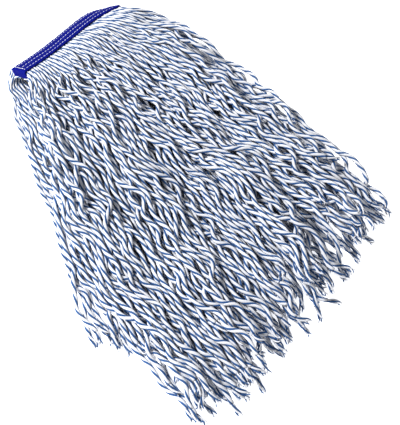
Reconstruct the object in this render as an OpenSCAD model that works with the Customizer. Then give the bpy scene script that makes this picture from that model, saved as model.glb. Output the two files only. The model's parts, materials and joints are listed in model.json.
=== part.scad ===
// String mop head lying on a floor, folded along its headband.
// X runs along the headband, the strands lie towards -Y, Z is up, and the floor is Z = 0.
// Every yarn passes under the headband, so it gives one strand of the upper skirt
// and one of the lower skirt. The strands are grouped in bundles that hang together.

/* [Headband] */
// Length of the headband, from end fold to end fold
band_length = 152; // [130:2:180]
// Width of the headband tape
band_width = 30; // [24:1:34]
// Thickness of the tape
tape_thickness = 1.2; // [0.8:0.1:2]
// Height of the flap that closes each end of the headband
end_flap = 10; // [8:1:14]
// Radius of the fold at each end of the tape
fold_radius = 2.5; // [1.5:0.5:4]
// Lean of the headband away from the strands, in degrees
band_lean = 30; // [20:1:35]

/* [Stitching] */
// Diameter of the sewing thread
thread_diameter = 0.9; // [0.6:0.1:1.2]
// Length of one stitch
stitch_length = 3.4; // [2.4:0.2:5]
// Space between one stitch and the next
stitch_gap = 0.8; // [0.6:0.1:2]
// Distance from one long row of stitches to the next
row_spacing = 10; // [7:0.5:12]
// Distance from an end fold to the short row across it
end_row_inset = 4; // [3:0.5:8]

/* [Yarn] */
// Thickness of the yarns sewn together under the tape
core_thickness = 13; // [10:1:14]
// Thickness of one skirt where it lies flat
skirt_thickness = 12; // [10:1:14]
// Radius of the turn where the lower skirt folds under the headband
curl_radius = 13; // [12:1:18]
// Reach of the longest strands from the edge of the headband
strand_reach = 445; // [390:5:510]
// How much further the lower skirt has to travel round its fold
fold_loss = 40; // [30:5:60]
// Clear space between two bundles that lie side by side
bundle_gap = 1.2; // [0.8:0.1:3]

/* [Fan] */
// Spread of the upper skirt to the left
upper_left_spread = 160; // [100:5:200]
// Spread of the lower skirt to the left
lower_left_spread = 170; // [100:5:200]
// Spread of both skirts to the right, before they lean back
right_spread = 60; // [40:5:120]
// Lean of the right-hand strands back to the left, per millimetre of reach
right_return = 0.07; // [0:0.01:0.2]

/* [Hidden] */
$fn = 48;

bundle_count = 8;
tape_blue = [0.10, 0.14, 0.62];
thread_white = [0.93, 0.93, 0.91];
yarn_white = [0.90, 0.91, 0.92];
yarn_shade = [0.78, 0.82, 0.88];

// The hinge lines run along X at both long edges of the core, and the bundles
// start a little way from them, thin, so that they turn clear of the tape.
hinge_overhang = 1.5;
hinge_offset = band_width / 2 + hinge_overhang;
bundle_start = 10;
start_half = 3;
skirt_half = skirt_thickness / 2;
yarn_clearance = 0.3;
core_length = band_length - 2 * tape_thickness - 2 * yarn_clearance;

// Unit vectors of the leaning headband: towards the strands, and out of its face
across = [0, -cos(band_lean), sin(band_lean)];
outward = [0, sin(band_lean), cos(band_lean)];
core_height = skirt_half + curl_radius * (1 + cos(band_lean)) + hinge_offset * sin(band_lean);
core_middle = [0, 0, core_height];
front_hinge = core_middle + across * hinge_offset;
back_hinge = core_middle - across * hinge_offset;
curl_middle = back_hinge - outward * curl_radius;
face_height = core_thickness / 2 + tape_thickness;

// The skirts run straight until they are past their fold, then they fan out. A bundle
// has the same width at the same reach all through, so it turns past its neighbours.
fan_start = 40;
left_ease = 120;
right_ease = 30;
turn_ease = 20;
function flare(r, spread, ease, back) =
    let (past = max(0, r - fan_start))
    (spread * (1 - exp(-past / ease)) - back * past) * (1 - exp(-past / turn_ease));

// Place across the fan, from u = -1 on the left to u = 1 on the right, at reach r
function fan_x(u, r, left_spread) =
    let (left = -core_length / 2 - flare(r, left_spread, left_ease, 0),
         right = core_length / 2 + flare(r, right_spread, right_ease, right_return))
    (left + right) / 2 + u * (right - left) / 2;

// Reach of the tips: longest a quarter of the way in from the left, shorter to each side.
longest_at = -0.5;
left_shortfall = 45;
right_shortfall = 45;
function tip_reach(u) =
    let (aside = u - longest_at)
    strand_reach - (aside < 0 ? left_shortfall * pow(aside / (1 + longest_at), 2)
        : right_shortfall * aside / (1 - longest_at));

// Outline of a bundle, as [place across it, place through its thickness], from -1 to 1
bundle_outline = [[-1, -0.5], [-0.8, -1], [0.8, -1], [1, -0.5],
    [1, 0.45], [0.6, 1], [-0.6, 1], [-1, 0.45]];
outline_points = len(bundle_outline);
reach_steps = 18;
reach_power = 1.4;
curl_steps = 8;

function edge_u(i) = -1 + 2 * i / bundle_count;
function bundle_u(i, a) = edge_u(i) + (a + 1) / bundle_count;
function bundle_x(i, a, r, left_spread) =
    let (low = fan_x(edge_u(i), r, left_spread) + bundle_gap / 2,
         high = fan_x(edge_u(i + 1), r, left_spread) - bundle_gap / 2)
    (low + high) / 2 + a * (high - low) / 2;

// A point at reach r from a hinge line and at height z, on the strands' side of it
function reach_point(x, r, z, hinge) = [x, hinge.y - sqrt(r * r - pow(z - hinge.z, 2)), z];

// The upper skirt leaves the crest of the fold and settles on the lower skirt.
layer_gap = 1;
crest_rise = 31;
crest_ease = 52;
rest_height = skirt_thickness + layer_gap + skirt_half;
function upper_height(r) = rest_height + crest_rise * exp(-pow(r / crest_ease, 2));
function upper_half(r) = min(skirt_half, start_half + (r - bundle_start) / 3);

function upper_point(i, k, p) =
    let (reach = tip_reach(bundle_u(i, p.x)) - bundle_start,
         r = bundle_start + reach * pow(k / reach_steps, reach_power))
    reach_point(bundle_x(i, p.x, r, upper_left_spread), r,
        upper_height(r) + p.y * upper_half(r), front_hinge);
function upper_points(i) =
    [for (k = [0 : reach_steps]) for (p = bundle_outline) upper_point(i, k, p)];

// The lower skirt turns down and under the headband, then lies flat on the floor.
curl_start = 2 * asin(bundle_start / 2 / curl_radius);
curl_end = 180 - band_lean;
function curl_point(i, k, p) =
    let (turn = curl_start + (curl_end - curl_start) * k / curl_steps,
         half = min(skirt_half, start_half + 1.5 * k),
         radius = curl_radius - p.y * half)
    [bundle_x(i, p.x, 0, lower_left_spread),
        curl_middle.y + radius * sin(band_lean + turn),
        curl_middle.z + radius * cos(band_lean + turn)];
function flat_point(i, k, p) =
    let (reach = tip_reach(bundle_u(i, p.x)) - fold_loss - fan_start,
         r = fan_start + reach * pow(k / reach_steps, reach_power))
    reach_point(bundle_x(i, p.x, r, lower_left_spread), r, skirt_half * (1 + p.y), back_hinge);
function lower_points(i) =
    [for (k = [0 : curl_steps]) for (p = bundle_outline) curl_point(i, k, p),
     for (k = [0 : reach_steps]) for (p = bundle_outline) flat_point(i, k, p)];

// The model stands with the middle of its bounding box over the origin.
yarn_points = [for (i = [0 : bundle_count - 1]) each concat(upper_points(i), lower_points(i))];
xs = [for (p = yarn_points) p.x];
ys = [for (p = yarn_points) p.y];
centring = -[(min(xs) + max(xs)) / 2, (min(ys) + max(ys)) / 2, 0];
echo(front_hinge = front_hinge + centring, back_hinge = back_hinge + centring);
echo(core = core_middle + centring, centring = centring);

// Triangles that join rings of outline points into one closed skin
function skin(rings) =
    let (n = outline_points)
    concat(
        [for (k = [0 : rings - 2]) for (j = [0 : n - 1])
            [k * n + j, k * n + (j + 1) % n, (k + 1) * n + j]],
        [for (k = [0 : rings - 2]) for (j = [0 : n - 1])
            [k * n + (j + 1) % n, (k + 1) * n + (j + 1) % n, (k + 1) * n + j]],
        [for (j = [1 : n - 2]) [0, j + 1, j]],
        [for (j = [1 : n - 2]) (rings - 1) * n * [1, 1, 1] + [0, j, j + 1]]);

module upper_bundle(i) {
    color(i % 2 == 0 ? yarn_white : yarn_shade)
    translate(centring)
    polyhedron(upper_points(i - 1), skin(reach_steps + 1));
}

module lower_bundle(i) {
    color(i % 2 == 0 ? yarn_shade : yarn_white)
    translate(centring)
    polyhedron(lower_points(i - 1), skin(curl_steps + reach_steps + 2));
}

// Things drawn flat, with Z out of the headband's face, are leaned into place here.
module on_headband() {
    translate(core_middle + centring)
    rotate([-band_lean, 0, 0])
    children();
}

// The yarns where they are sewn, with a round edge on each hinge line
module yarn_core() {
    color(yarn_shade)
    on_headband()
    rotate([90, 0, 90])
    linear_extrude(core_length, center = true)
    union() {
        square([2 * hinge_offset, core_thickness], center = true);
        translate([hinge_offset, 0]) circle(d = core_thickness);
        translate([-hinge_offset, 0]) circle(d = core_thickness);
    }
}

module tape_outline() {
    half = band_length / 2;
    difference() {
        union() {
            translate([-half, face_height - end_flap])
            square([band_length, end_flap - fold_radius]);
            translate([fold_radius - half, face_height - 2 * fold_radius])
            square([band_length - 2 * fold_radius, 2 * fold_radius]);
            for (side = [-1, 1])
                translate([side * (half - fold_radius), face_height - fold_radius])
                circle(r = fold_radius);
        }
        translate([tape_thickness - half, face_height - end_flap - 1])
        square([band_length - 2 * tape_thickness, end_flap + 1 - tape_thickness]);
    }
}

module headband_tape() {
    color(tape_blue)
    on_headband()
    rotate([90, 0, 0])
    linear_extrude(band_width, center = true)
    tape_outline();
}

module stitch() {
    straight = stitch_length - thread_diameter;
    rotate([0, 90, 0])
    cylinder(d = thread_diameter, h = straight, center = true);
    for (side = [-1, 1])
        translate([side * straight / 2, 0, 0]) sphere(d = thread_diameter);
}

// Stitches lie on the tape, a hair's breadth clear of it.
thread_height = face_height + thread_diameter / 2 + 0.05;
module stitch_line(count) {
    for (i = [0 : count - 1])
        translate([(i - (count - 1) / 2) * (stitch_length + stitch_gap), 0, thread_height])
        stitch();
}

long_row_length = band_length - 2 * end_row_inset - 2 * stitch_gap;
long_row_count = floor(long_row_length / (stitch_length + stitch_gap));
module stitch_row(place) {
    color(thread_white)
    on_headband()
    translate([0, place * row_spacing, 0])
    stitch_line(long_row_count);
}

end_row_margin = 1;
end_row_count = floor((band_width - 2 * end_row_margin) / (stitch_length + stitch_gap));
module end_stitch(side) {
    color(thread_white)
    on_headband()
    translate([side * (band_length / 2 - end_row_inset), 0, 0])
    rotate([0, 0, 90])
    stitch_line(end_row_count);
}

headband_tape();
yarn_core();
stitch_row(1);  // stitch_row_back
stitch_row(0);  // stitch_row_middle
stitch_row(-1);  // stitch_row_front
end_stitch(-1);  // end_stitch_left
end_stitch(1);  // end_stitch_right
upper_bundle(1);  // upper_bundle_1
upper_bundle(2);  // upper_bundle_2
upper_bundle(3);  // upper_bundle_3
upper_bundle(4);  // upper_bundle_4
upper_bundle(5);  // upper_bundle_5
upper_bundle(6);  // upper_bundle_6
upper_bundle(7);  // upper_bundle_7
upper_bundle(8);  // upper_bundle_8
lower_bundle(1);  // lower_bundle_1
lower_bundle(2);  // lower_bundle_2
lower_bundle(3);  // lower_bundle_3
lower_bundle(4);  // lower_bundle_4
lower_bundle(5);  // lower_bundle_5
lower_bundle(6);  // lower_bundle_6
lower_bundle(7);  // lower_bundle_7
lower_bundle(8);  // lower_bundle_8
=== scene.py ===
# %% [markdown]
# # A string mop head
# A narrow blue headband is sewn across the middle of 128 soft yarns. The mop lies
# folded on a floor, so each yarn gives one strand above and one below. The maths was settled
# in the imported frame; here each strand gets its real twist, colour, ends and way of lying.
#
# The first cell loads that frame. Its parts never move: new pieces are made around them.

# %% Load the frame
import json
import math
import bpy
import numpy as np
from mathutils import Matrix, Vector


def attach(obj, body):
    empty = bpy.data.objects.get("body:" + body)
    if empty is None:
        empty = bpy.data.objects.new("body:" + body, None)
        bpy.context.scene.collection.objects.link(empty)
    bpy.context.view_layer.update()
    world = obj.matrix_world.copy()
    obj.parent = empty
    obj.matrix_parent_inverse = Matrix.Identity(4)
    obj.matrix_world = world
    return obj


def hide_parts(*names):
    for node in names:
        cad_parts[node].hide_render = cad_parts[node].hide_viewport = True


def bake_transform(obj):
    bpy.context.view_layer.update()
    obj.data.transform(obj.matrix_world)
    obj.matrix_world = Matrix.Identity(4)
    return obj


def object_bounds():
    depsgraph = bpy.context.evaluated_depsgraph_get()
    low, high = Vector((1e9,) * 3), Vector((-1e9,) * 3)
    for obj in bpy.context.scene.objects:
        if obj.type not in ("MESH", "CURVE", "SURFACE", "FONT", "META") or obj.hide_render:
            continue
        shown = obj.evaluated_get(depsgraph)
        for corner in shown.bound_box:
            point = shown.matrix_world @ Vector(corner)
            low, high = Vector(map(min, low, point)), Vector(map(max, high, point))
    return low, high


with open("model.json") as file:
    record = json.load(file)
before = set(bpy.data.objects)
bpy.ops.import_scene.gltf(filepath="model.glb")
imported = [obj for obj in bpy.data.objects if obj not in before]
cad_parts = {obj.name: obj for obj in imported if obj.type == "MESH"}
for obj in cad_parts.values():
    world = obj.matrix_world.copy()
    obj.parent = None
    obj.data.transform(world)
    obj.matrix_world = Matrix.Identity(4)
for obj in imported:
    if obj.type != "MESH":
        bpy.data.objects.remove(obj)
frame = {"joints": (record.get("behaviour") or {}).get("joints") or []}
MM = 0.001
scene = bpy.context.scene
cad_low, cad_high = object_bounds()
joint_place = {j["name"]: np.array(j["pos_m"], float) / MM for j in frame["joints"]}
front_hinge, back_hinge = joint_place["upper_lift_1"], joint_place["lower_open_1"]
print("hinge lines in mm:", front_hinge.round(1), back_hinge.round(1))

# %% [markdown]
# The camera stands where a person would look down on the mop, over the corner of the left
# skirt. A long lens keeps the far headband nearly as large as the near tips. It is made first,
# because everything else is judged through it.

# %% The camera
CAMERA_AZIMUTH, CAMERA_ELEVATION = math.radians(44.7), math.radians(55.0)
CAMERA_DISTANCE = 1.197
CAMERA_TARGET = np.array([-0.0011, -0.0578, 0.0198])
FOCAL_LENGTH = 94.2

camera = bpy.data.objects.new("camera", bpy.data.cameras.new("camera"))
scene.collection.objects.link(camera)
looking = np.array([math.sin(CAMERA_AZIMUTH) * math.cos(CAMERA_ELEVATION),
                    math.cos(CAMERA_AZIMUTH) * math.cos(CAMERA_ELEVATION),
                    -math.sin(CAMERA_ELEVATION)])
camera.location = CAMERA_TARGET - looking * CAMERA_DISTANCE
camera.rotation_euler = (math.pi / 2 - CAMERA_ELEVATION, 0, -CAMERA_AZIMUTH)
camera.data.lens = FOCAL_LENGTH
camera.data.clip_start, camera.data.clip_end = 0.05, 20
scene.camera = camera
print("camera at", np.round(camera.location, 3))

# %% [markdown]
# The strands come next. Each yarn passes through the sewn core under the headband, comes out
# at its edge, and falls. Near the headband the yarns are squeezed three deep; further out they
# spread in a fan. This fan is narrower than the CAD bundles, by up to 49 mm on the left near
# the headband, so the bundles reach past the strands there.

# %% Sizes of the headband and the fan, in millimetres
BAND_LENGTH, BAND_WIDTH, TAPE_THICKNESS = 152.0, 30.0, 1.2
CORE_LENGTH, CORE_THICKNESS = 149.0, 13.0
FACE_HEIGHT = CORE_THICKNESS / 2 + TAPE_THICKNESS
HINGE_OFFSET = 16.5
CURL_RADIUS, CURL_TURN = 13.0, math.radians(150)
BAND_LEAN = math.radians(30)
LEFT_SPREAD, LEFT_EASE = 270.0, 480.0
RIGHT_SPREAD, RIGHT_EASE, RIGHT_RETURN = 60.0, 75.0, 0.09
STRAND_REACH, FOLD_LOSS = 445.0, 40.0
LONGEST_AT, LEFT_SHORTFALL, RIGHT_SHORTFALL = -0.5, 25.0, 45.0
BAND_BOW, END_TURN, END_SAG = 6.0, math.radians(12), 2.5
BUNDLES, YARNS_PER_BUNDLE, LAYERS, LAYER_STEP = 8, 16, 3, 3.9
LOW_HEIGHT, BAND_RISE, RISE_LENGTH = 19, 31, 52
YARNS = BUNDLES * YARNS_PER_BUNDLE

middle = (front_hinge + back_hinge) / 2
ALONG = np.array([1.0, 0.0, 0.0])
ACROSS = np.array([0.0, -math.cos(BAND_LEAN), math.sin(BAND_LEAN)])
OUTWARD = np.array([0.0, math.sin(BAND_LEAN), math.cos(BAND_LEAN)])
curl_middle = back_hinge - OUTWARD * CURL_RADIUS
print(YARNS, "yarns, core", CORE_LENGTH, "mm long, middle at", middle.round(1))

# %% The fan
def eased(value, start, end):
    t = np.clip((value - start) / (end - start), 0, 1)
    return t * t * (3 - 2 * t)


def flare(reach, spread, ease, back):
    return spread * (1 - np.exp(-reach / ease)) - back * reach


def fan_x(u, reach):
    """Where the yarn at u lies at this reach; u is -1 at the fan's left edge, 1 at its right."""
    left = -CORE_LENGTH / 2 - flare(reach, LEFT_SPREAD, LEFT_EASE, 0)
    right = CORE_LENGTH / 2 + flare(reach, RIGHT_SPREAD, RIGHT_EASE, RIGHT_RETURN)
    return middle[0] + (left + right) / 2 + u * (right - left) / 2


def tip_reach(u):
    aside = u - LONGEST_AT
    return STRAND_REACH - (LEFT_SHORTFALL * (aside / (1 + LONGEST_AT)) ** 2 if aside < 0
                           else RIGHT_SHORTFALL * aside / (1 - LONGEST_AT))


def upper_height(reach):
    return LOW_HEIGHT + BAND_RISE * np.exp(-(reach / RISE_LENGTH) ** 2)


def droop(points, share=1.0):
    """Bows the headband, turns its right-hand end back and lets it sag, by a share of it all."""
    along_band = points[:, 0] - middle[0]
    past = eased(along_band, 42, 80)
    bow = BAND_BOW * eased(along_band, -40, 40) * (1 - past)
    turn = END_TURN * past * share
    away = points - middle
    turned = np.stack([away[:, 0], away[:, 1] * np.cos(turn) + away[:, 2] * np.sin(turn),
                       away[:, 2] * np.cos(turn) - away[:, 1] * np.sin(turn)], axis=1)
    turned[:, 1] += bow * share
    turned[:, 2] -= END_SAG * past ** 2 * share
    return middle + turned


print("fan is", np.round(fan_x(np.array([-1, 1]), 300.0), 0), "mm at its edges, 300 mm out")

# %% [markdown]
# A strand is limp, so it lies on whatever is already below it. One way is a cloth or rope
# simulation, but with two hundred strands that is slow and hard to steer. Here the pile is
# laid as a maker would do it: strand by strand. A height map remembers the top of the pile,
# each new strand rests on it, and bridges small gaps in flat arcs, so dark gaps stay between
# the strands. Strands still press into each other a little, and they meet where the pile is
# held below its limit.

# %% The height map
YARN_RADIUS = 2.55
STEP = 2.4
CELL = 0.8
MAP_LOW = np.array([cad_low[0], cad_low[1]]) / MM - 40
MAP_SIZE = tuple(int(s) for s in (np.array([cad_high[0], cad_high[1]]) / MM + 40 - MAP_LOW) / CELL)
pile = np.zeros(MAP_SIZE)
SOFTNESS = 0.92
BRIDGE, WINDOW = 0.009, 16
ROLL_PROBES, ROLL_LIMIT = (5.0, 4.0, 5.0, 4.0, 3.0, 4.0, 3.0, 2.5, 2.0, 2.0, 2.0), 1.5


def yarn_radius(reach):
    """Yarns are squeezed where they are sewn, and open up over the next hand's breadth."""
    return YARN_RADIUS * (0.76 + 0.24 * eased(reach, 15, 110))


def footprint(points, radius):
    """The map's cells under each point, and how far a round strand is from its middle there."""
    cells = np.round((points[:, :2] - MAP_LOW) / CELL).astype(int)
    span = np.arange(-3, 4)
    dx, dy = (d.ravel() for d in np.meshgrid(span, span))
    gap = np.hypot(dx, dy) * CELL
    inside = gap[None, :] < radius[:, None]
    rise = np.sqrt(np.maximum(radius[:, None] ** 2 - gap[None, :] ** 2, 0))
    ix = np.clip(cells[:, :1] + dx, 0, MAP_SIZE[0] - 1)
    iy = np.clip(cells[:, 1:2] + dy, 0, MAP_SIZE[1] - 1)
    return ix, iy, inside, rise


def smooth(values, sigma):
    half = int(3 * sigma)
    weights = np.exp(-0.5 * (np.arange(-half, half + 1) / sigma) ** 2)
    padded = np.pad(values, half, mode="edge")
    return np.convolve(padded, weights / weights.sum(), mode="valid")


def resting(points, radius, lowest):
    """The height at which each point would rest on the pile, and its footprint there."""
    ix, iy, inside, rise = footprint(points, radius)
    height = np.where(inside, pile[ix, iy] + rise, 0).max(axis=1)
    return np.maximum(height, lowest), (ix, iy, inside, rise)


def roll_aside(points, radius, lowest, free):
    """Lets a strand roll sideways into the grooves of the pile, as far as it is free to."""
    along = np.gradient(points[:, :2], axis=0)
    along /= np.linalg.norm(along, axis=1, keepdims=True)
    aside = np.stack([-along[:, 1], along[:, 0], np.zeros(len(points))], axis=1)
    for probe in ROLL_PROBES:
        left, here, right = (resting(points + aside * shift, radius, lowest)[0]
                             for shift in (-probe, 0, probe))
        move = np.where(np.minimum(left, right) < here,
                        np.clip(left - right, -ROLL_LIMIT, ROLL_LIMIT), 0)
        points = points + aside * (smooth(move, 4) * free)[:, None]
    return points


def lay_down(points, radius, lowest, free):
    """Rests a strand on the pile, at least as high as lowest, and adds it to the pile."""
    contact = radius * SOFTNESS
    points = roll_aside(points, contact, lowest, free)
    rest, (ix, iy, inside, rise) = resting(points, contact, lowest)
    rest = lowest + (rest - lowest) * free
    offsets = np.arange(-WINDOW, WINDOW + 1)
    padded = np.pad(rest, WINDOW, constant_values=-1e3)
    arcs = np.stack([padded[WINDOW + o:WINDOW + o + len(rest)] - BRIDGE * (o * STEP) ** 2
                     for o in offsets])
    points[:, 2] = smooth(arcs.max(axis=0), 2.0)
    top = np.where(inside, points[:, 2:3] + rise, 0)
    np.maximum.at(pile, (ix, iy), top)
    return points


print("height map of", MAP_SIZE, "cells")

# %% [markdown]
# No strand is straight. Neighbours cling together in locks, with gaps between the locks, so
# one slow wave is shared by strands that lie close. Each strand also has a small wave of its
# own, and a few wander across their neighbours. The amounts grow from nothing at the headband.

# %% How strands wander
rng = np.random.default_rng(11)
LOCK_WAVES = 9


def make_locks():
    """Random slow waves over the fan: turns across it, turns along it, start, size."""
    across = rng.uniform(3, 34, LOCK_WAVES)
    along = rng.uniform(0.006, 0.030, LOCK_WAVES) * rng.choice([-1, 1], LOCK_WAVES)
    size = 3.6 / (1 + across / 20)
    return across, along, rng.uniform(0, 2 * math.pi, LOCK_WAVES), size


def lock_shift(u, reach, locks):
    across, along, start, size = (v[:, None] for v in locks)
    return (size * np.sin(across * u + along * reach[None, :] + start)).sum(axis=0)


def own_shift(reach, tip):
    shift = np.zeros_like(reach)
    for length, size in ((190, 2.8), (95, 1.1), (50, 0.4)):
        wave = length * rng.uniform(0.8, 1.25)
        shift += size * rng.uniform(0.5, 1.3) * np.sin(
            2 * math.pi * reach / wave + rng.uniform(0, 2 * math.pi))
    for shortest, longest, size in ((36, 66, 3.0), (20, 32, 1.1)):
        kinks = size * np.sin(2 * math.pi * reach / rng.uniform(shortest, longest)
                              + rng.uniform(0, 6))
        shift += kinks * (0.07 + eased(reach, 0.50 * tip, 0.95 * tip)) * rng.uniform(0.1, 1.3)
    loose_end = np.maximum(0, reach - tip + rng.uniform(50, 120)) / 100
    return shift + rng.normal(0, 13) * loose_end ** 2


def crossing(u, reach):
    """A strand wanders over its neighbours, and away from the fan's own edges."""
    start, length = rng.uniform(60, 330), rng.uniform(50, 130)
    way = rng.choice([-1, 1]) if abs(u) < 0.75 else -math.copysign(1, u)
    return way * rng.uniform(9, 20) * eased(reach, start, start + length)


print(LOCK_WAVES, "shared waves for each skirt")

# %% Lay the strands
CROSSING_SHARE = 0.15
SHORT_SHARE = 0.18
SPLAY, SPLAY_SHORT = 34.0, 70.0
EDGE_LIMIT, PILE_LIMIT = -194.0, 60.5
LOBE_CLEARANCE = 1.12


def in_core(u, layer_out, side, count=9):
    """The squeezed part of a yarn, from under the middle of the headband to its edge."""
    a = np.linspace(2, HINGE_OFFSET - 2, count) * side
    return (middle + np.outer(a, ACROSS) + OUTWARD * layer_out + ALONG * u * CORE_LENGTH / 2)


def around_curl(u, layer_out, count=18):
    """The lower skirt's turn from the back edge of the headband down to the floor."""
    turn = np.linspace(0.1, 0.98, count) * CURL_TURN + BAND_LEAN
    radius = CURL_RADIUS + layer_out
    points = np.stack([fan_x(u, 26 * eased(np.arange(count), 0, count)),
                       curl_middle[1] + radius * np.sin(turn),
                       curl_middle[2] + radius * np.cos(turn)], axis=1)
    return droop(points, 1 - eased(np.arange(count), 0, count - 1))


def evenly(points, step=STEP):
    """The same line with its points one step apart, and a little rounder."""
    along = np.concatenate([[0], np.cumsum(np.linalg.norm(np.diff(points, axis=0), axis=1))])
    at = np.linspace(0, along[-1], max(8, round(along[-1] / step)))
    line = np.stack([np.interp(at, along, points[:, k]) for k in range(3)], axis=1)
    line = np.stack([smooth(line[:, k], 1.6) for k in range(3)], axis=1)
    return line


def lay_strand(skirt, number, layer, locks, crosses):
    u = -1 + (2 * number + 1) / YARNS
    hinge = front_hinge if skirt == "upper" else back_hinge
    layer_out = (layer - 1) * LAYER_STEP
    tip = tip_reach(u) + rng.normal(-4, 8) + 9 * math.sin(27 * u + 2) - (
        0.6 * FOLD_LOSS if skirt == "lower" else 0)
    if rng.random() < SHORT_SHARE:
        tip -= rng.uniform(15, 90)
    splay = float(eased(-u, 0.8, 0.95)) if skirt == "lower" else 0.0
    tip -= SPLAY_SHORT * splay
    first = 10.0 if skirt == "upper" else hinge[1] - curl_middle[1] + 2
    run = np.arange(first, tip, STEP)
    height = upper_height(run) if skirt == "upper" else np.full_like(run, 6.0)
    reach = np.hypot(run, height - hinge[2])
    x = fan_x(u, reach) - SPLAY * splay * eased(reach, 140, 300)
    y = hinge[1] - run
    slope = np.gradient(x, run)
    shift = (lock_shift(u, reach, locks) + own_shift(reach, tip)) * eased(reach, 6, 90)
    if crosses:
        shift += crossing(u, reach)
    shift *= np.where(shift * u > 0, 1 - 0.6 * u ** 4, 1) / np.sqrt(1 + slope ** 2)
    points = np.stack([np.maximum(x + shift, EDGE_LIMIT), y - shift * slope * 0.6,
                       np.zeros_like(x)], axis=1)
    radius = yarn_radius(reach)
    if skirt == "upper":
        lowest = height + layer_out - 4 * eased(run, 8, 24) - 12 * eased(run, 15, 80)
        start = droop(in_core(u, layer_out, 1))
    else:
        lowest = np.where(run < 40, 6.0 - layer_out * (1 - eased(run, 8, 40)), 0)
        start = np.concatenate([droop(in_core(u, layer_out, -1)), around_curl(u, layer_out)])
    free = eased(run, 5, 50)
    points = lay_down(points, radius, np.maximum(lowest, radius), free)
    if skirt == "upper":
        ceiling = height + 4 + 36 * eased(run, 12, 60)
        points[:, 2] = np.minimum(points[:, 2], np.minimum(ceiling, PILE_LIMIT))
        points = droop(points, 1 - eased(run, 0, 40))
    line = evenly(np.concatenate([start, points]))
    line[:, 2] = np.maximum(line[:, 2], YARN_RADIUS * LOBE_CLEARANCE)
    return {"skirt": skirt, "bundle": number // YARNS_PER_BUNDLE + 1, "number": number,
            "line": line, "tip": tip, "hinge": hinge}


strands = []
for skirt in ("lower", "upper"):
    locks = make_locks()
    numbers = np.arange(YARNS)
    crossers = set(rng.choice(numbers, int(YARNS * CROSSING_SHARE), replace=False))
    order = sorted(numbers, key=lambda n: (n in crossers,
                   (n % LAYERS) if skirt == "upper" else LAYERS - 1 - n % LAYERS,
                   rng.random()))
    for n in order:
        strands.append(lay_strand(skirt, int(n), int(n) % LAYERS, locks, n in crossers))
print(len(strands), "strands; the pile is", round(float(pile.max()), 1), "mm deep")
for away in (15, 30, 50, 80, 120, 180, 250, 320, 400):
    row = pile[:, int((front_hinge[1] - away - MAP_LOW[1]) / CELL)]
    print(away, "mm from the headband the pile is", round(float(np.median(row[row > 1])), 1), "to",
          round(float(row.max()), 1), "mm deep")

# %% [markdown]
# The yarn itself is four plies twisted round each other: two thick white ones, with a thinner
# blue one on each side. A round tube with a striped picture would look flat, so the outline of
# the tube has four lobes, and it turns as it goes along. Two lobes get the blue finish. The
# creases between the plies stay sharp and everything else is shaded smooth.

# %% The yarn's outline
TWIST = 30.0
PLIES = (("white", 114, 1.06), ("blue", 66, 0.92), ("white", 114, 1.06), ("blue", 66, 0.92))
CREASE = 0.74
SHOULDERS = (0.0, 0.27, 0.73)
WHITE, BLUE = 0, 1

outline_angle, outline_radius, outline_crease, outline_finish = [], [], [], []
ply_middle = []
turned = 0.0
for finish, width, bulge in PLIES:
    for place in SHOULDERS:
        outline_angle.append(math.radians(turned + place * width))
        outline_radius.append(CREASE if place == 0 else bulge)
        outline_crease.append(place == 0)
        outline_finish.append(BLUE if finish == "blue" else WHITE)
    ply_middle.append(math.radians(turned + width / 2))
    turned += width
outline_angle, outline_radius = np.array(outline_angle), np.array(outline_radius)
outline_crease, outline_finish = np.array(outline_crease), np.array(outline_finish)
SIDES = len(outline_angle)
print("the yarn's outline has", SIDES, "points, and goes round in", turned, "degrees")


# %% Tubes along a line
def directions(line):
    """For each point of a line: the way along it, and two ways square to that."""
    along = np.gradient(line, axis=0)
    along /= np.linalg.norm(along, axis=1, keepdims=True)
    side = ALONG - (along @ ALONG)[:, None] * along
    side /= np.linalg.norm(side, axis=1, keepdims=True)
    return along, side, np.cross(along, side)


def rings(line, angle, radius):
    """Rings of points round a line; angle and radius have one row for each ring."""
    _, side, up = directions(line)
    return (line[:, None, :] + radius[..., None] * (
        np.cos(angle)[..., None] * side[:, None, :] + np.sin(angle)[..., None] * up[:, None, :]))


def ring_faces(count, sides, first):
    """Four-sided faces between the rings, which start at point number first."""
    k, j = np.meshgrid(np.arange(count - 1), np.arange(sides), indexing="ij")
    a, b = first + k * sides + j, first + k * sides + (j + 1) % sides
    return np.stack([a, b, b + sides, a + sides], axis=-1).reshape(-1, 4)


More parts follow.
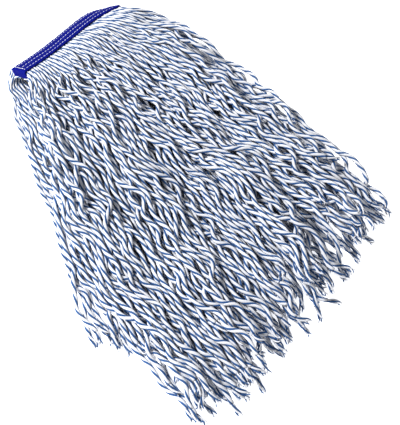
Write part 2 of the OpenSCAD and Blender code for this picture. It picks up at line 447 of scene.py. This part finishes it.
class Skin:
    """Collects the points, faces, finishes and pattern places of one piece."""

    def __init__(self):
        self.points, self.faces, self.finish, self.pattern, self.crease = [], [], [], [], []
        self.tone, self.count = [], 0

    def tube(self, points, finish, crease, around, along, tone, cap_start, cap_end):
        count, sides = points.shape[:2]
        faces = ring_faces(count, sides, self.count)
        self.faces += faces.tolist()
        self.finish += np.tile(finish, count - 1).tolist()
        u = np.stack([around[:-1], around[1:], around[1:], around[:-1]], axis=-1)
        v = np.stack([along[:-1], along[:-1], along[1:], along[1:]], axis=-1)
        u = np.broadcast_to(u[None], (count - 1, sides, 4))
        v = np.broadcast_to(v[:, None], (count - 1, sides, 4))
        self.pattern.append(np.stack([u, v], axis=-1).reshape(-1, 2))
        self.points.append(points.reshape(-1, 3))
        self.crease.append(np.tile(crease, count))
        self.tone.append(np.full(count * sides, tone))
        start, end = self.count, self.count + (count - 1) * sides
        self.count += count * sides
        for first, turn, centre in ((start, -1, cap_start), (end, 1, cap_end)):
            ring = np.arange(sides)[::turn]
            for j in range(sides):
                self.faces.append([first + int(ring[j]), first + int(ring[(j + 1) % sides]),
                                   self.count])
                self.finish.append(int(finish[j]))
            self.pattern.append(np.zeros((3 * sides, 2)))
            self.points.append(np.array(centre)[None])
            self.crease.append(np.zeros(1, bool))
            self.tone.append(np.full(1, tone))
            self.count += 1

    def piece(self, name, materials):
        mesh = bpy.data.meshes.new(name)
        mesh.from_pydata((np.concatenate(self.points) * MM).tolist(), [], self.faces)
        mesh.polygons.foreach_set("material_index", self.finish)
        mesh.uv_layers.new(name="lay").data.foreach_set(
            "uv", np.concatenate(self.pattern).astype(np.float32).ravel())
        mesh.attributes.new("tone", "FLOAT", "POINT").data.foreach_set(
            "value", np.concatenate(self.tone).astype(np.float32))
        mesh.shade_smooth()
        crease = np.concatenate(self.crease)
        ends = np.zeros(len(mesh.edges) * 2, np.int32)
        mesh.edges.foreach_get("vertices", ends)
        ends = ends.reshape(-1, 2)
        mesh.attributes.new("sharp_edge", "BOOLEAN", "EDGE").data.foreach_set(
            "value", crease[ends[:, 0]] & crease[ends[:, 1]])
        for material in materials:
            mesh.materials.append(material)
        piece = bpy.data.objects.new(name, mesh)
        scene.collection.objects.link(piece)
        return piece


print("a skin holds points, faces, finishes and pattern places")

# %% [markdown]
# A mop's strands are cut, not looped. At the cut the twist lets go: the four plies part, swell
# and end in soft points. Each ply gets a short tube of its own there, which starts inside the
# twisted yarn and drifts away from it.

# %% Twisted yarn with a bloomed end
BLOOM_STEPS = 7
PLY_SIDES = 6
PLY_SWELL = np.interp(np.linspace(0, 1, BLOOM_STEPS + 1),
                      [0, 0.35, 0.8, 1], [0.40, 0.47, 0.34, 0.14])


def add_strand(skin, strand, rng):
    line, tone = strand["line"], rng.uniform(0, 1)
    lengths = np.arange(len(line)) * STEP
    reach = np.hypot(line[:, 1] - strand["hinge"][1], line[:, 2] - strand["hinge"][2])
    radius = yarn_radius(reach)
    slack = 1 + 0.05 * np.sin(lengths / rng.uniform(9, 14) + rng.uniform(0, 6))
    phase = rng.uniform(0, 2 * math.pi) - 2 * math.pi * lengths / (
        TWIST * rng.uniform(0.92, 1.1))
    body = len(line) - BLOOM_STEPS
    angle = phase[:, None] + outline_angle[None, :]
    tube = rings(line, angle, (radius * slack)[:, None] * outline_radius[None, :])[:body]
    around = np.append(outline_angle, 2 * math.pi) * YARN_RADIUS / 10
    skin.tube(tube, outline_finish, outline_crease, around, lengths[:body] / 10, tone,
              line[0], line[body - 1])
    part = np.linspace(0, 1, BLOOM_STEPS + 1)
    along, side, up = directions(line)
    tail = slice(body - 1, None)
    for ply, (finish, width, bulge) in enumerate(PLIES):
        thick = 0.74 if finish == "blue" else 1.0
        turn = (phase[body - 1] - 2 * math.pi * np.linspace(0, 0.45, BLOOM_STEPS + 1)
                + ply_middle[ply])
        away = radius[tail] * (0.50 + rng.uniform(0.25, 0.8) * part ** 1.4)
        drift = rng.normal(0, 0.55, 2)
        offset = ((away * np.cos(turn) + drift[0] * part ** 2)[:, None] * side[tail]
                  + (away * np.abs(np.sin(turn)) * np.sign(np.sin(turn))
                     + drift[1] * part ** 2)[:, None] * up[tail])
        stretch = rng.uniform(-2.5, 1.2)
        centre = line[tail] + offset + along[tail] * (stretch * part ** 2)[:, None]
        centre[:, 2] = np.maximum(centre[:, 2], PLY_SWELL * radius[tail] * thick * 0.9 + 0.1)
        ply_angle = np.broadcast_to(np.arange(PLY_SIDES) * 2 * math.pi / PLY_SIDES,
                                    (BLOOM_STEPS + 1, PLY_SIDES))
        ply_radius = np.broadcast_to((radius[tail] * thick * PLY_SWELL)[:, None], ply_angle.shape)
        colour = BLUE if finish == "blue" else WHITE
        skin.tube(rings(centre, ply_angle, ply_radius), np.full(PLY_SIDES, colour),
                  np.zeros(PLY_SIDES, bool), np.arange(PLY_SIDES + 1) * 0.12,
                  part * BLOOM_STEPS * STEP / 10, tone,
                  centre[0], centre[-1] + along[-1] * 0.8)


print("each end parts into", len(PLIES), "plies of", BLOOM_STEPS + 1, "rings")

# %% [markdown]
# Finishes are sums of nodes. Writing each node out by hand hides the sum, so a small class
# stands for one value in a material: adding or multiplying two of them adds the Math node.

# %% A value in a material
class Value:
    """One socket of a material, which can be used in sums."""

    def __init__(self, socket):
        self.socket, self.tree = socket, socket.id_data

    @classmethod
    def node(cls, tree, kind, settings=None, inputs=None, output=0):
        made = tree.nodes.new(kind)
        for name, value in (settings or {}).items():
            if name == "stops":
                for stop, (place, colour) in zip(made.color_ramp.elements, value):
                    stop.position, stop.color = place, (*colour, 1)
            else:
                setattr(made, name, value)
        for name, value in (inputs or {}).items():
            if isinstance(value, Value):
                tree.links.new(value.socket, made.inputs[name])
            else:
                made.inputs[name].default_value = value
        return cls(made.outputs[output])

    def maths(self, operation, a, b=0.0):
        return Value.node(self.tree, "ShaderNodeMath", {"operation": operation}, {0: a, 1: b})

    def __add__(self, other):
        return self.maths("ADD", self, other)

    def __sub__(self, other):
        return self.maths("SUBTRACT", self, other)

    def __rsub__(self, other):
        return self.maths("SUBTRACT", other, self)

    def __mul__(self, other):
        return self.maths("MULTIPLY", self, other)

    __radd__, __rmul__ = __add__, __mul__


def new_material(name, **settings):
    """A material whose shader has these even settings; returns it, its nodes and the shader."""
    material = bpy.data.materials.new(name)
    material.use_nodes = True
    shader = material.node_tree.nodes["Principled BSDF"]
    for socket, value in settings.items():
        shader.inputs[socket.replace("_", " ")].default_value = value
    return material, material.node_tree, shader


def noise(tree, place, scale, detail=2.0, roughness=0.5):
    return Value.node(tree, "ShaderNodeTexNoise", {}, {
        "Vector": place, "Scale": scale, "Detail": detail, "Roughness": roughness})


def stretched(tree, place, scale):
    return Value.node(tree, "ShaderNodeMapping", {}, {"Vector": place, "Scale": scale})


def blend_colours(tree, factor, a, b):
    return Value.node(tree, "ShaderNodeMix", {"data_type": "RGBA"},
                      {0: factor, 6: a, 7: b}, output=2)


def connect(tree, value, socket):
    tree.links.new(value.socket, socket)


def bump(tree, height, strength, distance):
    return Value.node(tree, "ShaderNodeBump", {}, {
        "Height": height, "Strength": strength, "Distance": distance})


print("node sums are ready")

# %% [markdown]
# Cotton yarn is a mass of short fibres that run along each ply. They catch the light as fine
# streaks, the yarn is never one even white, and each yarn differs a little from the next. The
# blue ply is heathered: its dye took unevenly, and pale fibres show through.

# %% Yarn finishes
def yarn_material(name, light, dark, fleck, fleck_amount):
    material, tree, shader = new_material(name, Roughness=0.9, Sheen_Weight=0.15,
                                          Sheen_Roughness=0.5, Specular_IOR_Level=0.15)
    place = Value.node(tree, "ShaderNodeUVMap", {"uv_map": "lay"})
    body = Value.node(tree, "ShaderNodeTexCoord", output="Object")
    tone = Value.node(tree, "ShaderNodeAttribute", {"attribute_name": "tone"}, output="Fac")
    fibres = noise(tree, stretched(tree, place, (22.0, 3.2, 1.0)), 1.0, 3.0, 0.6)
    slubs = noise(tree, stretched(tree, place, (1.5, 0.9, 1.0)), 1.0, 1.0)
    patches = noise(tree, body, 28.0, 2.0)
    fine = noise(tree, body, 2600.0, 1.0)
    shade = fibres * 0.45 + slubs * 0.2 + patches * 0.2 + tone * 0.35 - 0.1
    base = blend_colours(tree, shade, (*dark, 1), (*light, 1))
    pale = Value.node(tree, "ShaderNodeMapRange", {}, {
        "Value": fine, "From Min": 1 - fleck_amount, "From Max": 1 - fleck_amount * 0.7})
    connect(tree, blend_colours(tree, pale, base, (*fleck, 1)), shader.inputs["Base Color"])
    connect(tree, 0.8 + fibres * 0.2, shader.inputs["Roughness"])
    connect(tree, bump(tree, fibres * 0.7 + fine * 0.3, 0.5, 0.0004), shader.inputs["Normal"])
    return material


white_ply = yarn_material("yarn_white", (0.86, 0.86, 0.87), (0.60, 0.61, 0.66),
                          (0.9, 0.9, 0.9), 0.30)
blue_ply = yarn_material("yarn_blue", (0.080, 0.188, 0.41), (0.024, 0.068, 0.170),
                         (0.36, 0.47, 0.62), 0.28)
print("finishes:", white_ply.name, blue_ply.name)

# %% Make the strands
DECLARED_PER_SKIRT = 20
blend_range = {
    "upper": (front_hinge + (0, 4, 0), front_hinge - (0, 22, 0)),
    "lower": (back_hinge - OUTWARD * 7, back_hinge - OUTWARD * 24),
}
yarn_materials = (white_ply, blue_ply)
made_faces = 0
for skirt in ("upper", "lower"):
    own = sorted((s for s in strands if s["skirt"] == skirt), key=lambda s: s["number"])
    furthest = {s["number"] for s in sorted(own, key=lambda s: -s["tip"])[:DECLARED_PER_SKIRT]}
    start, end = (tuple(p * MM) for p in blend_range[skirt])
    for bundle in range(1, BUNDLES + 1):
        node, body = f"{skirt}_bundle_{bundle}", f"{skirt}_strands_{bundle}"
        together = Skin()
        pieces = []
        for strand in (s for s in own if s["bundle"] == bundle):
            if strand["number"] in furthest:
                single = Skin()
                add_strand(single, strand, rng)
                cord = single.piece(f"{skirt}_strand_{strand['number'] + 1}", yarn_materials)
                path = (strand["line"] * MM).tolist()
                pieces.append(cord)
            else:
                add_strand(together, strand, rng)
        pieces.append(together.piece(f"{node}_strands", yarn_materials))
        for piece in pieces:
            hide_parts(node, "yarn_core")
            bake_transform(piece)
            made_faces += len(piece.data.polygons)
print(made_faces, "faces of yarn")

# %% [markdown]
# The headband is one strip of woven tape over the yarns, folded down at both ends. It is a
# sheet of cloth, so it starts as a flat grid, cut to size, that is then carried onto the
# yarns: pulled in along the stitch rows, puffed up between them, and nipped at its edges.

# %% Where a point of the tape lies
TAPE_MIDDLE = FACE_HEIGHT - TAPE_THICKNESS / 2
FOLD_RADIUS = 1.9
TOP_HALF, FLAP = BAND_LENGTH / 2 - 2.5, 7.5
TAPE_HALF = TOP_HALF + math.pi / 2 * FOLD_RADIUS + FLAP
ROW_SPACING, ROWS = 10.0, (("back", -1), ("middle", 0), ("front", 1))


def tape_profile(a):
    """Distance along the band and height out of its face, for a distance a along the tape."""
    past = np.maximum(0, np.abs(a) - TOP_HALF)
    turn = np.minimum(past / FOLD_RADIUS, math.pi / 2)
    down = np.maximum(0, past - math.pi / 2 * FOLD_RADIUS)
    x = np.minimum(np.abs(a), TOP_HALF) + FOLD_RADIUS * np.sin(turn)
    return np.sign(a) * x, TAPE_MIDDLE - FOLD_RADIUS * (1 - np.cos(turn)) - down, np.cos(turn)


def tape_point(a, b, lift=0.0):
    """A point of the tape: a along it, b across it towards the strands, lift above it."""
    x, height, flat = tape_profile(a)
    rows = sum(np.exp(-((b - place * ROW_SPACING) / 1.3) ** 2) for _, place in ROWS)
    edge = np.clip((np.abs(b) - 11.5) / 3.5, 0, 1)
    yarns = np.sin(2 * math.pi * x / 8.6 + 0.8 * np.sin(x / 13))
    swell = (0.45 - 0.75 * rows + 0.35 * np.sin(x / 9.0 + 1) * np.cos(b / 6.0)
             - 1.5 * edge ** 2 + 0.30 * yarns * edge)
    b = b + edge ** 2 * (0.55 * yarns + 0.4 * np.sin(x / 17)) * np.sign(b) * flat
    b = b * (1 - 0.05 * (1 - flat) * eased(np.abs(a), TOP_HALF, TAPE_HALF))
    height = height + (swell + lift) * flat
    x = x + np.sign(x) * (1 - flat) * (lift + 0.5 * np.sin(b / 4.0))
    return droop(middle + np.outer(np.ravel(x), ALONG) + np.outer(np.ravel(b), ACROSS)
                 + np.outer(np.ravel(height), OUTWARD))


print("tape cut to", round(2 * TAPE_HALF, 1), "by", BAND_WIDTH, "mm")


# %% The tape
def nothing_selected():
    bpy.ops.object.select_all(action="DESELECT")


nothing_selected()
bpy.ops.mesh.primitive_grid_add(x_subdivisions=240, y_subdivisions=42, size=1)
tape = bpy.context.object
tape.name = tape.data.name = "headband_cloth"
flat = np.array([v.co for v in tape.data.vertices])
a, b = flat[:, 0] * 2 * TAPE_HALF, flat[:, 1] * BAND_WIDTH
tape.data.vertices.foreach_set("co", (tape_point(a, b) * MM).ravel())
corner_point = np.zeros(len(tape.data.loops), np.int32)
tape.data.loops.foreach_get("vertex_index", corner_point)
while tape.data.uv_layers:
    tape.data.uv_layers.remove(tape.data.uv_layers[0])
tape.data.uv_layers.new(name="lay").data.foreach_set(
    "uv", np.stack([a, b], axis=1)[corner_point].ravel() / 10)
thickness = tape.modifiers.new("thickness", "SOLIDIFY")
thickness.thickness, thickness.offset = TAPE_THICKNESS * MM * 0.8, 0
rounding = tape.modifiers.new("rounding", "BEVEL")
rounding.width, rounding.segments, rounding.limit_method = 0.0003, 2, "ANGLE"
for modifier in ("thickness", "rounding"):
    bpy.ops.object.modifier_apply(modifier=modifier)
tape.data.shade_smooth()
print(len(tape.data.polygons), "faces of tape")

# %% [markdown]
# The stitches are white lockstitch thread: short, plump, slightly sunk at both ends where they
# dive into the tape. One stitch is modelled and copied along each row.

# %% One stitch, and rows of it
STITCH, STITCH_GAP, THREAD = 3.6, 0.6, 1.1
LONG_ROW, END_ROW, END_INSET = 33, 6, 4.0
nothing_selected()
bpy.ops.mesh.primitive_uv_sphere_add(segments=10, ring_count=8, radius=1,
                                     rotation=(0, math.pi / 2, 0))
stitch = bpy.context.object
bpy.ops.object.transform_apply(location=True, rotation=True, scale=True)
for vertex in stitch.data.vertices:
    x, y, z = vertex.co
    slim = 1 - 0.25 * x ** 4
    vertex.co = (x * STITCH / 2, y * THREAD / 2 * slim, z * THREAD / 2 * slim - 0.35 * x ** 2)
stitch.data.transform(((MM, 0, 0, 0), (0, MM, 0, 0), (0, 0, MM, 0), (0, 0, 0, 1)))
stitch.data.shade_smooth()


def stitch_row(name, places, node):
    """Copies the stitch to places on the tape, each given as (a, b, turned across)."""
    copies = []
    for a, b, turned in places:
        here, ahead, aside = (tape_point(np.array([p]), np.array([q]), 0.62)[0] for p, q in (
            (a, b), (a + 0.01 * (not turned), b - 0.01 * turned),
            (a - 0.01 * turned, b - 0.01 * (not turned))))
        run = (ahead - here) / np.linalg.norm(ahead - here)
        rise = np.cross(run, aside - here)
        rise /= np.linalg.norm(rise)
        wide = np.cross(rise, run)
        copy = stitch.copy()
        copy.data = stitch.data.copy()
        scene.collection.objects.link(copy)
        copy.data.transform(((*run, 0), (*wide, 0), (*rise, 0), (*here * MM, 1)))
        copies.append(copy)
    nothing_selected()
    for copy in copies:
        copy.select_set(True)
    bpy.context.view_layer.objects.active = copies[0]
    bpy.ops.object.join()
    row = bpy.context.object
    row.name = row.data.name = name
    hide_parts(node)
    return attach(row, "headband")


thread_pieces = []
for name, place in ROWS:
    spots = [((i - (LONG_ROW - 1) / 2) * (STITCH + STITCH_GAP), place * ROW_SPACING, False)
             for i in range(LONG_ROW)]
    thread_pieces.append(stitch_row(f"{name}_row_thread", spots, f"stitch_row_{name}"))
for name, side in (("left", -1), ("right", 1)):
    spots = [(side * (BAND_LENGTH / 2 - END_INSET),
              (i - (END_ROW - 1) / 2) * (STITCH + STITCH_GAP), True) for i in range(END_ROW)]
    thread_pieces.append(stitch_row(f"{name}_end_thread", spots, f"end_stitch_{name}"))
bpy.data.objects.remove(stitch)
print(len(thread_pieces), "rows of thread")

# %% [markdown]
# The tape is woven: ribs run along it and a finer thread crosses them. Its colour is lighter on
# the ribs and darker in the hollows between them: painted shade. The thread is nearly white,
# with a little twist.

# %% Tape and thread finishes
band_tape, tree, shader = new_material("band_tape", Roughness=0.75, Specular_IOR_Level=0.12)
place = Value.node(tree, "ShaderNodeUVMap", {"uv_map": "lay"})
ribs = Value.node(tree, "ShaderNodeTexWave", {"bands_direction": "Y", "wave_profile": "SIN"}, {
    "Vector": place, "Scale": 3.4, "Distortion": 0.4, "Detail": 1.0})
picks = Value.node(tree, "ShaderNodeTexWave", {"bands_direction": "X", "wave_profile": "SIN"}, {
    "Vector": place, "Scale": 5.2, "Distortion": 0.3, "Detail": 1.0})
weave = ribs * 0.6 + ribs * picks * 0.8
wear = noise(tree, stretched(tree, place, (0.8, 1.6, 1.0)), 1.0, 3.0, 0.6)
lint = noise(tree, place, 34.0, 1.0)
# Painted shade: the base colour follows the weave's height and is darker in its hollows; the wear
# noise adds random tone.
cloth_with_painted_shade = blend_colours(tree, weave * 0.6 + wear * 0.5 - 0.15, (0.003, 0.008, 0.17, 1),
                      (0.009, 0.020, 0.38, 1))
connect(tree, cloth_with_painted_shade, shader.inputs["Base Color"])
connect(tree, 0.62 + wear * 0.3, shader.inputs["Roughness"])
connect(tree, bump(tree, weave + lint * 0.25, 0.7, 0.0003), shader.inputs["Normal"])
tape.data.materials.append(band_tape)
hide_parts("headband_tape")
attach(tape, "headband")

thread_white, tree, shader = new_material("thread_white", Roughness=0.6)
body = Value.node(tree, "ShaderNodeTexCoord", output="Object")
strokes = noise(tree, body, 1800.0, 2.0)
connect(tree, blend_colours(tree, strokes, (0.62, 0.62, 0.66, 1), (0.92, 0.92, 0.93, 1)),
        shader.inputs["Base Color"])
connect(tree, 0.45 + strokes * 0.3, shader.inputs["Roughness"])
connect(tree, bump(tree, strokes, 0.4, 0.0001), shader.inputs["Normal"])
for piece in thread_pieces:
    piece.data.materials.clear()
    piece.data.materials.append(thread_white)
print("finishes:", band_tape.name, thread_white.name)

# %% [markdown]
# The mop lies on a plain white table that glows a little, so it stays pale right up to the
# strands. One soft lamp stands to the left and behind, in a white room: light from one side
# leaves the gaps between strands dark.

# %% Floor and light
nothing_selected()
bpy.ops.mesh.primitive_plane_add(size=8)
table = bpy.context.object
table.name = "table"
table_white, tree, shader = new_material(
    "table_white", Base_Color=(0.9, 0.9, 0.9, 1), Roughness=0.9,
    Emission_Color=(1, 1, 1, 1), Emission_Strength=0.75)
table.data.materials.append(table_white)


def lamp(name, place, target, size, power):
    light = bpy.data.objects.new(name, bpy.data.lights.new(name, "AREA"))
    light.data.size, light.data.energy = size, power
    scene.collection.objects.link(light)
    light.location = place
    aim = np.array(target) - np.array(place)
    light.rotation_euler = (math.atan2(math.hypot(aim[0], aim[1]), -aim[2]), 0,
                            math.atan2(aim[0], -aim[1]) + math.pi)
    return light


lamp("key_lamp", (-1.05, 0.75, 1.75), (0, 0, 0), 0.5, 56)
world = bpy.data.worlds.new("room") if scene.world is None else scene.world
scene.world = world
world.use_nodes = True
world.node_tree.nodes["Background"].inputs["Color"].default_value = (1, 1, 1, 1)
world.node_tree.nodes["Background"].inputs["Strength"].default_value = 0.5
scene.view_settings.view_transform = "Standard"
scene.view_settings.exposure, scene.view_settings.gamma = -0.05, 0.76
print("one lamp and a white room")

# %% Sizes, and the end
print("CAD box", np.round(cad_low, 3), np.round(cad_high, 3))
